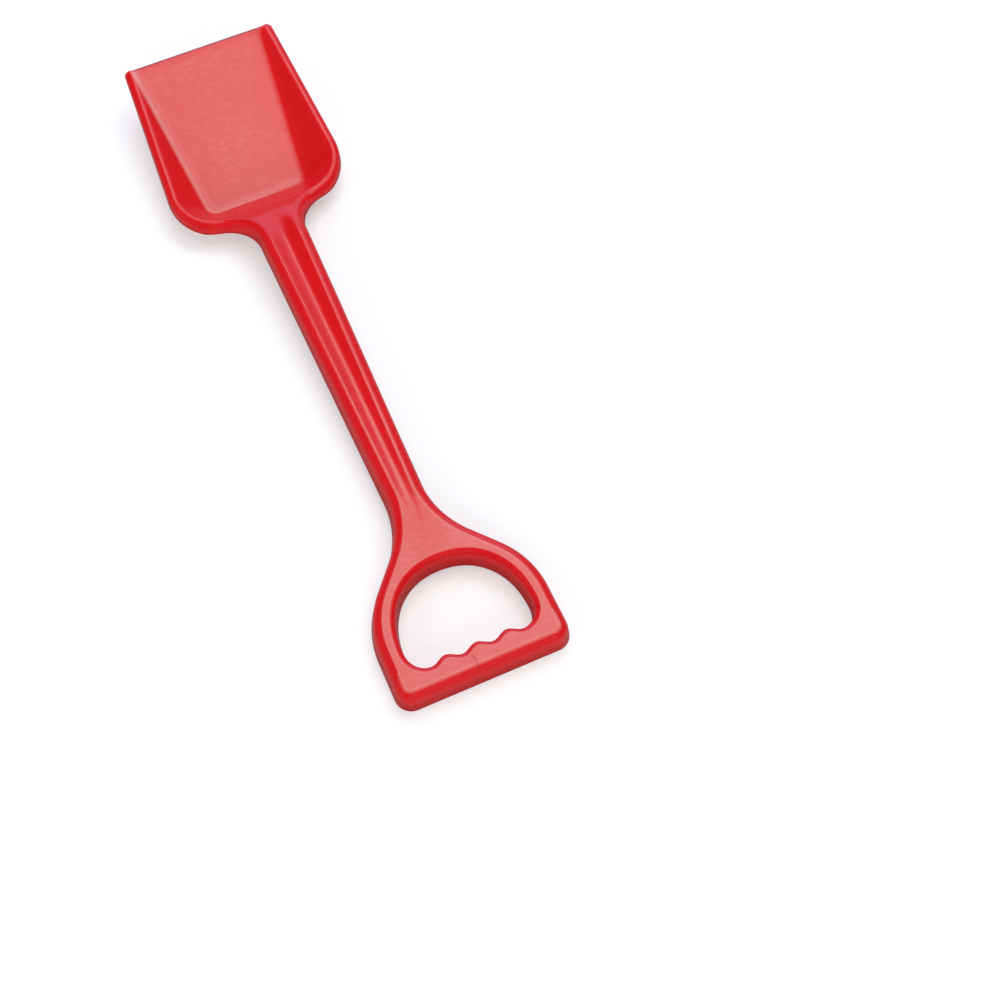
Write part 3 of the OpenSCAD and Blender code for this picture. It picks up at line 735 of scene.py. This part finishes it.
def drag_marks():
    """Fine marks that run across the flat faces, from sand and from polishing of the mould."""
    tree, given, out = group("drag_marks", "ShaderNodeTree",
                             [("Vector", "NodeSocketVector"),
                              ("Fineness", "NodeSocketFloat", 1600.0, 100.0, 5000.0),
                              ("Turn", "NodeSocketFloat", 0.16, -3.2, 3.2),
                              ("Amount", "NodeSocketFloat", 0.5, 0.0, 1.0)],
                             [("Mask", "NodeSocketFloat"), ("Height", "NodeSocketFloat")])
    turned = tree.nodes.new("ShaderNodeVectorRotate")
    turned.rotation_type = "Z_AXIS"
    tree.links.new(given.outputs["Vector"], turned.inputs["Vector"])
    tree.links.new(given.outputs["Turn"], turned.inputs["Angle"])
    vector = turned.outputs["Vector"]
    bands = noise(tree, stretched(tree, vector, 0.07, 1, 1), given.outputs["Fineness"], 3, 0.6)
    streaks = noise(tree, stretched(tree, vector, 0.35, 0.9, 0.9), 600, 2)
    patches = noise(tree, vector, 45, 3)
    lines = remap(tree, bands, 0.5, 0.75, 0, 1)
    broad = remap(tree, streaks, 0.45, 0.7, 0, 1)
    both = calc(tree, "MAXIMUM", lines, calc(tree, "MULTIPLY", broad, 0.5))
    where = remap(tree, patches, 0.35, 0.65, 0.35, 1)
    mask = calc(tree, "MULTIPLY", calc(tree, "MULTIPLY", both, where), given.outputs["Amount"])
    tree.links.new(mask, out.inputs["Mask"])
    tree.links.new(bands, out.inputs["Height"])
    return tree


def moulded_skin():
    """The skin of a moulding: a fine grain, and slow waves where the plastic sank."""
    tree, given, out = group("moulded_skin", "ShaderNodeTree",
                             [("Vector", "NodeSocketVector"),
                              ("Grain size", "NodeSocketFloat", 1600.0, 200.0, 6000.0),
                              ("Sink size", "NodeSocketFloat", 90.0, 10.0, 400.0)],
                             [("Height", "NodeSocketFloat"), ("Gloss", "NodeSocketFloat")])
    vector = given.outputs["Vector"]
    grain = noise(tree, vector, given.outputs["Grain size"], 2)
    sink = noise(tree, vector, given.outputs["Sink size"], 2)
    height = calc(tree, "MULTIPLY_ADD", grain, 0.25, sink)
    tree.links.new(height, out.inputs["Height"])
    tree.links.new(remap(tree, sink, 0.3, 0.7, 0, 1), out.inputs["Gloss"])
    return tree


def weld_line():
    """The line in the middle of the grip where two flows of plastic met."""
    tree, given, out = group("weld_line", "ShaderNodeTree",
                             [("Vector", "NodeSocketVector"),
                              ("Width", "NodeSocketFloat", 0.9 * MM, 0.1 * MM, 2 * MM),
                              ("Offset", "NodeSocketFloat", 4.2 * MM, -10 * MM, 10 * MM),
                              ("From", "NodeSocketFloat", -189.5 * MM, -300 * MM, 0.0),
                              ("To", "NodeSocketFloat", -198.5 * MM, -300 * MM, 0.0)],
                             [("Mask", "NodeSocketFloat")])
    vector = given.outputs["Vector"]
    split = tree.nodes.new("ShaderNodeSeparateXYZ")
    tree.links.new(vector, split.inputs[0])
    wander = 1.6 * MM
    wobble = calc(tree, "MULTIPLY_ADD", noise(tree, vector, 260, 2), wander, -wander / 2)
    middle = calc(tree, "ADD", split.outputs["X"], given.outputs["Offset"])
    offset = calc(tree, "ADD", middle, wobble)
    line_mask = remap(tree, calc(tree, "ABSOLUTE", offset), 0, given.outputs["Width"], 1, 0)
    stop = calc(tree, "MULTIPLY",
                calc(tree, "LESS_THAN", split.outputs["Y"], given.outputs["From"]),
                calc(tree, "GREATER_THAN", split.outputs["Y"], given.outputs["To"]))
    broken = remap(tree, noise(tree, vector, 420, 1), 0.3, 0.6, 0.6, 1)
    mask = calc(tree, "MULTIPLY", calc(tree, "MULTIPLY", line_mask, stop), broken)
    tree.links.new(mask, out.inputs["Mask"])
    return tree


def use_group(tree, sub_tree, vector):
    """A node group placed in a material, on the object's own coordinates."""
    node = tree.nodes.new("ShaderNodeGroup")
    node.node_tree = sub_tree
    tree.links.new(vector, node.inputs["Vector"])
    return node


def mixed(tree, factor, a, b):
    """Colour b over a by factor."""
    node = tree.nodes.new("ShaderNodeMix")
    node.data_type = "RGBA"
    tree.links.new(factor, node.inputs[0])
    for socket, value in ((node.inputs[6], a), (node.inputs[7], b)):
        feed(tree, value if hasattr(value, "links") else (*value, 1), socket)
    return node.outputs[2]


def stored(tree, name):
    """A value that is stored at the points of the mesh."""
    node = tree.nodes.new("ShaderNodeAttribute")
    node.attribute_name = name
    return node.outputs["Fac"]


# How much rougher drag marks and sinks are, the depth of the grain, and the plastic's index
MARKS_ROUGHER, SINKS_ROUGHER = 0.1, 0.05
BUMP_STRENGTH, BUMP_DEPTH = 0.5, 0.09 * MM
PLASTIC_IOR = 1.44


def red_plastic():
    """The red polypropylene: one material for the shell and its ribs."""
    name = "red_polypropylene"
    if name in bpy.data.materials:
        return bpy.data.materials[name]
    finish = bpy.context.scene.shovel_finish
    mat = bpy.data.materials.new(name)
    mat.use_nodes = True
    tree = mat.node_tree
    bsdf = tree.nodes["Principled BSDF"]
    vector = tree.nodes.new("ShaderNodeTexCoord").outputs["Object"]
    marks = use_group(tree, drag_marks(), vector)
    skin = use_group(tree, moulded_skin(), vector)
    weld = use_group(tree, weld_line(), vector)
    flat = stored(tree, "flat")

    # Pale over the red for wear and drag marks, for painted sheen on the flats, and for painted
    # highlights in creases and at borders
    paler = calc(tree, "MULTIPLY_ADD", marks.outputs["Mask"], finish.marks, finish.haze)
    rubbed_and_sheen = calc(tree, "MULTIPLY", stored(tree, "worn"), paler)
    haze = calc(tree, "MULTIPLY_ADD", stored(tree, "edge"), finish.creases, rubbed_and_sheen)
    color = mixed(tree, haze, finish.plastic, finish.pale)
    weld_mask = calc(tree, "MULTIPLY", weld.outputs["Mask"], finish.weld_share)
    tree.links.new(mixed(tree, weld_mask, color, finish.weld), bsdf.inputs["Base Color"])

    rough = remap(tree, flat, 0, 1, finish.roughness, finish.flat_roughness)
    rough = calc(tree, "MULTIPLY_ADD", marks.outputs["Mask"], MARKS_ROUGHER, rough)
    rough = calc(tree, "MULTIPLY_ADD", skin.outputs["Gloss"], SINKS_ROUGHER, rough)
    tree.links.new(rough, bsdf.inputs["Roughness"])

    bump = tree.nodes.new("ShaderNodeBump")
    bump.inputs["Strength"].default_value = BUMP_STRENGTH
    bump.inputs["Distance"].default_value = BUMP_DEPTH
    height = calc(tree, "MULTIPLY_ADD", marks.outputs["Height"], flat, skin.outputs["Height"])
    tree.links.new(height, bump.inputs["Height"])
    tree.links.new(bump.outputs["Normal"], bsdf.inputs["Normal"])
    bsdf.inputs["IOR"].default_value = PLASTIC_IOR
    return mat


class SHOVEL_OT_shell(bpy.types.Operator):
    """The moulded shell: scoop, shaft and handle in one wall"""

    bl_idname = "shovel.shell"
    bl_label = "Moulded shell"

    def execute(self, context):
        moulding = Moulding(context.scene.shovel_sizes)
        verts, faces = shell_mesh(moulding)
        more, floor = floor_faces(moulding, len(verts))
        obj = new_object("moulded_shell", np.concatenate([verts, more]), faces + floor)
        close_mesh(obj)
        mark_wear_and_highlights(obj, moulding)
        obj.data.materials.append(red_plastic())
        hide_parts(*REGIONS)
        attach(obj, "root")
        return {"FINISHED"}


# The two colours of lamps, and their distance in metres
WHITE, COOL = (1, 1, 1), (0.56, 0.7, 1)
LAMP_DIST = 2.5
# Each lamp's name, its degrees from overhead to the right and towards the tip, its width and
# height in metres, its radiance, its colour, and whether it shows in the gloss
SOFTBOXES = (("left_glint", -10, 13, 0.45, 0.45, 5.5, WHITE, True),
             ("main_softbox", 16, 26, 1.1, 1.0, 4.9, WHITE, True),
             ("right_softbox", 35, 4, 1.0, 1.1, 3.6, WHITE, True),
             ("top_softbox", 8, -5, 1.1, 1.0, 2.4, WHITE, True),
             ("far_softbox", 35, 62, 3.0, 2.2, 1.6, COOL, True),
             ("left_fill", -64, -5, 2.4, 1.8, 1.5, WHITE, False),
             ("handle_fill", -10, -66, 2.4, 1.8, 2.2, WHITE, False))


def softbox(name, side, along, width, height, radiance, tint, shines):
    """A soft lamp aimed at the middle of the shovel."""
    side, along = np.radians(side), np.radians(along)
    place = Vector((np.tan(side), np.tan(along), 1)).normalized() * LAMP_DIST
    lamp = bpy.data.lights.new(name, "AREA")
    lamp.shape = "RECTANGLE"
    lamp.size, lamp.size_y = width, height
    lamp.energy = radiance * width * height * np.pi
    lamp.color = tint
    obj = bpy.data.objects.new(name, lamp)
    bpy.context.scene.collection.objects.link(obj)
    obj.location = place
    obj.rotation_euler = (-place).to_track_quat("-Z", "Y").to_euler()
    obj.visible_glossy = shines


def rib_tree():
    """Cross ribs at even stations along the open back, each carried up to the wall over it."""
    lengths = ("First end", "Last end", "Thickness", "Half width at first", "Half width at last",
               "Edge height at first", "Edge height at last", "Hold")
    sockets = [("Shell", "NodeSocketObject"), ("Ribs", "NodeSocketInt"),
               *((label, "NodeSocketFloat") for label in lengths),
               ("Material", "NodeSocketMaterial")]
    tree, given, out = group("cross_ribs", "GeometryNodeTree", sockets,
                             [("Ribs", "NodeSocketGeometry")])
    value = given.outputs

    def node(kind, links=(), **settings):
        made = tree.nodes.new(kind)
        for key, setting in settings.items():
            setattr(made, key, setting)
        for socket, source in links:
            feed(tree, source, made.inputs[socket])
        return made

    def xyz(x, y, z):
        return node("ShaderNodeCombineXYZ", ((0, x), (1, y), (2, z))).outputs[0]

    def position():
        return node("ShaderNodeSeparateXYZ",
                    ((0, node("GeometryNodeInputPosition").outputs[0]),)).outputs

    def along(y, label):
        return remap(tree, y, value["First end"], value["Last end"],
                     value[label + " at first"], value[label + " at last"], eased=False)

    # Stations that part the shaft evenly, and a flat blank on each
    shaft_len = calc(tree, "SUBTRACT", value["Last end"], value["First end"])
    step = calc(tree, "DIVIDE", shaft_len, calc(tree, "ADD", value["Ribs"], 1.0))
    first = calc(tree, "ADD", value["First end"], step)
    stations = node("GeometryNodeMeshLine", (("Count", value["Ribs"]),
                                             ("Start Location", xyz(0.0, first, 0.0)),
                                             ("Offset", xyz(0.0, step, 0.0))))
    blank = node("GeometryNodeMeshCube", (("Vertices X", 33), ("Vertices Y", 2),
                                          ("Vertices Z", 2), ("Size", (1, 1, 1))))
    width = calc(tree, "MULTIPLY", along(position()[1], "Half width"), 2.0)
    ribs = node("GeometryNodeInstanceOnPoints",
                (("Points", stations.outputs[0]), ("Instance", blank.outputs[0]),
                 ("Scale", xyz(width, value["Thickness"], 1.0))))
    real = node("GeometryNodeRealizeInstances", ((0, ribs.outputs[0]),))

    # The foot of each rib follows the flange's edge, and its top the wall over it
    x, y, z = position()
    foot = along(y, "Edge height")
    inside = calc(tree, "SUBTRACT", along(y, "Half width"), value["Hold"])
    kept = calc(tree, "MAXIMUM", calc(tree, "MINIMUM", x, inside),
                calc(tree, "MULTIPLY", inside, -1.0))
    shell = node("GeometryNodeObjectInfo", ((0, value["Shell"]),), transform_space="ORIGINAL")
    over = node("GeometryNodeRaycast", (("Target Geometry", shell.outputs["Geometry"]),
                                        ("Source Position", xyz(kept, y, foot)),
                                        ("Ray Direction", (0, 0, 1)), ("Ray Length", 0.1)))
    hit = node("ShaderNodeSeparateXYZ", ((0, over.outputs["Hit Position"]),))
    top = calc(tree, "MULTIPLY_ADD", value["Hold"], 0.4, hit.outputs[2])
    is_top = calc(tree, "GREATER_THAN", z, 0.0)
    height = calc(tree, "MULTIPLY_ADD", is_top, calc(tree, "SUBTRACT", top, foot), foot)
    formed = node("GeometryNodeSetPosition", (("Geometry", real.outputs[0]),
                                              ("Position", xyz(x, y, height))))
    finish = node("GeometryNodeSetMaterial", (("Geometry", formed.outputs[0]),
                                              ("Material", value["Material"])))
    tree.links.new(finish.outputs[0], out.inputs[0])
    return tree


def baked(obj, name):
    """A plain mesh object of what a modifier gives; the first object goes."""
    depsgraph = bpy.context.evaluated_depsgraph_get()
    mesh = bpy.data.meshes.new_from_object(obj.evaluated_get(depsgraph))
    plain = bpy.data.objects.new(name, mesh)
    bpy.context.scene.collection.objects.link(plain)
    bpy.data.objects.remove(obj)
    return plain


class SHOVEL_OT_ribs(bpy.types.Operator):
    """The cross ribs in the open back of the shaft"""

    bl_idname = "shovel.ribs"
    bl_label = "Cross ribs"

    def execute(self, context):
        shell = bpy.data.objects.get("moulded_shell")
        if shell is None:
            raise RuntimeError("The shell comes first")
        sizes = context.scene.shovel_sizes
        moulding = Moulding(sizes)
        ends = np.array([moulding.shaft_start_v, moulding.shaft_end_v])
        rows = moulding.place(np.array([[moulding.shaft_half(v), v,
                                         moulding.edge_z(v) + sizes.rib_recess] for v in ends]))
        inner = rows[:, 0] - sizes.wall * RIB_INSET
        obj = new_object("rib_stations", [], [])
        modifier = obj.modifiers.new("ribs", "NODES")
        modifier.node_group = rib_tree()
        values = {"Shell": shell, "Ribs": sizes.rib_count, "First end": rows[0, 1],
                  "Last end": rows[1, 1], "Thickness": sizes.rib_t,
                  "Half width at first": inner[0], "Half width at last": inner[1],
                  "Edge height at first": rows[0, 2], "Edge height at last": rows[1, 2],
                  "Hold": sizes.wall * RIB_HOLD, "Material": red_plastic()}
        for item in modifier.node_group.interface.items_tree:
            if item.in_out == "INPUT":
                value = values[item.name]
                is_length = item.socket_type == "NodeSocketFloat"
                modifier[item.identifier] = float(value) if is_length else value
        ribs = baked(obj, "cross_ribs")
        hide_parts("shaft_ribs")
        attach(ribs, "root")
        return {"FINISHED"}


# The floor's colour, its colour in the plastic's gloss, and for the camera a glow with its share
FLOOR_WHITE, FLOOR_GREY = (0.93, 0.96, 0.96, 1), (0.35, 0.35, 0.35, 1)
GLOW, GLOW_SHARE = 1.15, 0.35
# Half the floor's width in metres, and the strength of the world as a light
FLOOR_HALF = 3
ROOM_LIGHT = 0.12


def white_floor():
    """A floor that the camera sees near white, and that the shovel sees as pale grey."""
    mat = bpy.data.materials.new("white_floor")
    mat.use_nodes = True
    mat.cycles.emission_sampling = "NONE"
    tree = mat.node_tree
    tree.nodes.remove(tree.nodes["Principled BSDF"])
    grey, white = (tree.nodes.new("ShaderNodeBsdfDiffuse") for _ in range(2))
    grey.inputs["Color"].default_value = FLOOR_GREY
    white.inputs["Color"].default_value = FLOOR_WHITE
    glow = tree.nodes.new("ShaderNodeEmission")
    glow.inputs["Strength"].default_value = GLOW
    path = tree.nodes.new("ShaderNodeLightPath")

    def blended(factor, first, second):
        node = tree.nodes.new("ShaderNodeMixShader")
        for socket, source in zip(node.inputs, (factor, first.outputs[0], second.outputs[0])):
            tree.links.new(source, socket)
        return node

    lift = calc(tree, "MULTIPLY", path.outputs["Is Camera Ray"], GLOW_SHARE)
    seen = blended(path.outputs["Is Glossy Ray"], blended(lift, white, glow), grey)
    tree.links.new(seen.outputs[0], tree.nodes["Material Output"].inputs["Surface"])
    return mat


def white_room():
    """A world that lights little, and that the camera sees as white beyond the floor."""
    world = bpy.data.worlds.new("room")
    world.use_nodes = True
    tree = world.node_tree
    sky = tree.nodes["Background"]
    sky.inputs["Color"].default_value = (1, 1, 1, 1)
    seen = tree.nodes.new("ShaderNodeLightPath").outputs["Is Camera Ray"]
    strength = calc(tree, "MULTIPLY_ADD", seen, 1 - ROOM_LIGHT, ROOM_LIGHT)
    tree.links.new(strength, sky.inputs["Strength"])
    return world


# The view of the shovel before it is laid down: tilt, roll and turn in radians, distance in
# metres, focal length in widths of the frame, and the place of the shovel's tip
VIEW_TILT, VIEW_ROLL, VIEW_TURN = 0.42999, 0.0235657, 0.443412
VIEW_DIST, VIEW_FOCAL, VIEW_PLACE = 0.89683, 1.80086, (-0.174611, 0.269689, 0)
SENSOR = 36


def photo_camera(lay):
    """The camera at the photograph's angle, moved with the shovel as it is laid down."""
    tilt, roll = VIEW_TILT, VIEW_ROLL
    right, up = Vector((1, 0, 0)), Vector((0, np.cos(tilt), np.sin(tilt)))
    ahead = Vector((0, np.sin(tilt), -np.cos(tilt)))
    across = np.cos(roll) * right + np.sin(roll) * up
    rise = -np.sin(roll) * right + np.cos(roll) * up
    pose = Matrix((across, rise, -ahead)).transposed().to_4x4()
    pose.translation = -ahead * VIEW_DIST
    placed = Matrix.Translation(VIEW_PLACE) @ Matrix.Rotation(VIEW_TURN, 4, "Z")
    lens = bpy.data.cameras.new("camera")
    lens.sensor_width = SENSOR
    lens.lens = VIEW_FOCAL * SENSOR
    lens.clip_start = 0.01
    obj = bpy.data.objects.new("camera", lens)
    obj.matrix_world = lay @ placed.inverted() @ pose
    return obj


class SHOVEL_OT_stage(bpy.types.Operator):
    """Pale floor, soft lights and the camera"""

    bl_idname = "shovel.stage"
    bl_label = "Stage"

    def execute(self, context):
        scene = context.scene
        scene.view_settings.view_transform = "Standard"
        far = FLOOR_HALF
        floor = new_object("floor", [(-far, -far, 0), (far, -far, 0), (far, far, 0),
                                     (-far, far, 0)], [(0, 1, 2, 3)])
        floor.data.materials.append(white_floor())
        camera = photo_camera(Moulding(scene.shovel_sizes).lay())
        scene.collection.objects.link(camera)
        scene.camera = camera
        scene.world = white_room()
        for row in SOFTBOXES:
            softbox(*row)
        return {"FINISHED"}


class SHOVEL_PT_panel(bpy.types.Panel):
    """Sizes and finish of the shovel, and the steps that build it"""

    bl_label = "Sand shovel"
    bl_idname = "SHOVEL_PT_panel"
    bl_space_type = "VIEW_3D"
    bl_region_type = "UI"
    bl_category = "Shovel"

    def draw(self, context):
        for values in (context.scene.shovel_sizes, context.scene.shovel_finish):
            for name in values.__annotations__:
                self.layout.prop(values, name)
        for step in STEPS:
            self.layout.operator(step.bl_idname)


STEPS = (SHOVEL_OT_shell, SHOVEL_OT_ribs, SHOVEL_OT_stage)
CLASSES = (ShovelSizes, ShovelFinish, *STEPS, SHOVEL_PT_panel)


def register():
    for cls in CLASSES:
        bpy.utils.register_class(cls)
    bpy.types.Scene.shovel_sizes = bpy.props.PointerProperty(type=ShovelSizes)
    bpy.types.Scene.shovel_finish = bpy.props.PointerProperty(type=ShovelFinish)


def unregister():
    del bpy.types.Scene.shovel_finish
    del bpy.types.Scene.shovel_sizes
    for cls in reversed(CLASSES):
        bpy.utils.unregister_class(cls)


def main():
    register()
    bpy.ops.shovel.shell()
    bpy.ops.shovel.ribs()
    bpy.ops.shovel.stage()


if __name__ == "__main__":
    main()
